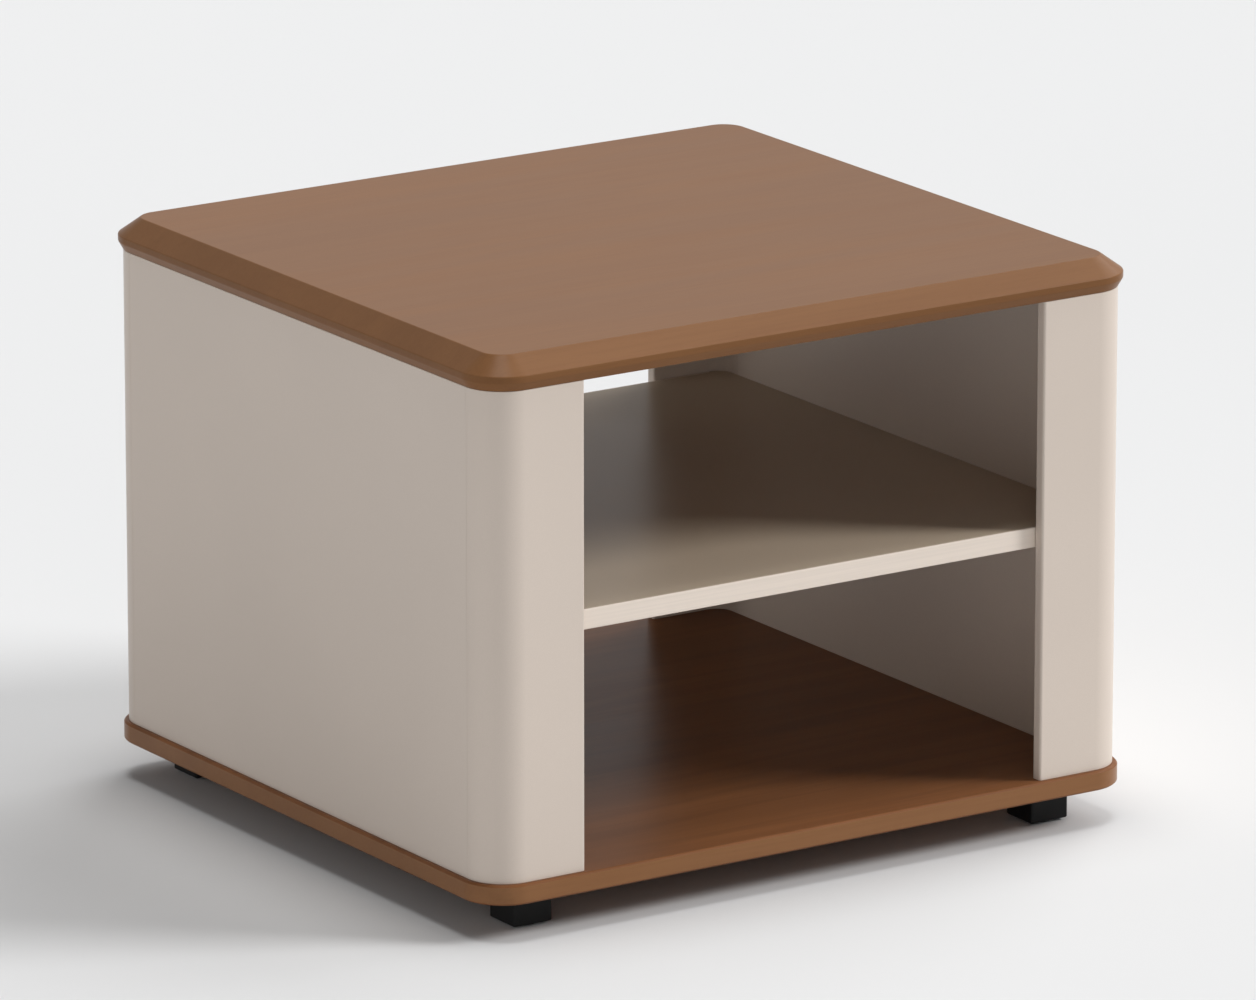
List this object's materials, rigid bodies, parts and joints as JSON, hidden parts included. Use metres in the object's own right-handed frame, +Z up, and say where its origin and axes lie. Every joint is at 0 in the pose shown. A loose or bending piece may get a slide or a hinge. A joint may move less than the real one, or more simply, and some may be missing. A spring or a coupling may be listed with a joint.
{
  "type": "coffee table",
  "caption": "Low squarish coffee table with bevelled wood-look top and base panels, pale side units with rounded corner posts, a fixed shelf, and niches open at front and back, on block feet.",
  "frame": {"origin": "centre of the table's footprint, on the floor under the glides of the feet", "axes": "+X to the right along the longer side as seen from the front, +Y to the back, +Z up"},
  "size_m": [0.6, 0.56, 0.455],
  "materials": {
    "wood_panel": "mid-brown fine-grained wood-look foil on board, satin",
    "pale_board": "warm pale grey-beige coating on board, satin matt",
    "edge_strip": "light beige edge strip, satin",
    "bare_wood": "bare beech, unfinished",
    "foot_plastic": "black moulded plastic, matt",
    "glide_plastic": "dark grey plastic glide, matt",
    "cap_plastic": "beige moulded cap, matt",
    "cast_zinc": "die-cast zinc, dull",
    "zinc_steel": "zinc-plated steel"
  },
  "bodies": {
    "root": {"top_panel": "wood_panel", "bottom_panel": "wood_panel", "left_side_board": "pale_board", "right_side_board": "pale_board", "left_front_post": "pale_board", "left_rear_post": "pale_board", "right_front_post": "pale_board", "right_rear_post": "pale_board", "post_tongues": "bare_wood", "shelf_board": "pale_board", "shelf_front_lipping": "edge_strip", "shelf_rear_lipping": "edge_strip", "front_left_foot": "foot_plastic", "front_right_foot": "foot_plastic", "rear_left_foot": "foot_plastic", "rear_right_foot": "foot_plastic", "foot_glides": "glide_plastic", "foot_screws": "zinc_steel", "connecting_screws": "zinc_steel", "top_dowels": "bare_wood", "bottom_dowels": "bare_wood", "shelf_dowels": "bare_wood", "top_cams": "cast_zinc", "top_cam_bolts": "zinc_steel", "top_cam_caps": "cap_plastic", "shelf_cams": "cast_zinc", "shelf_cam_bolts": "zinc_steel", "shelf_cam_caps": "cap_plastic"}
  },
  "joints": []
}
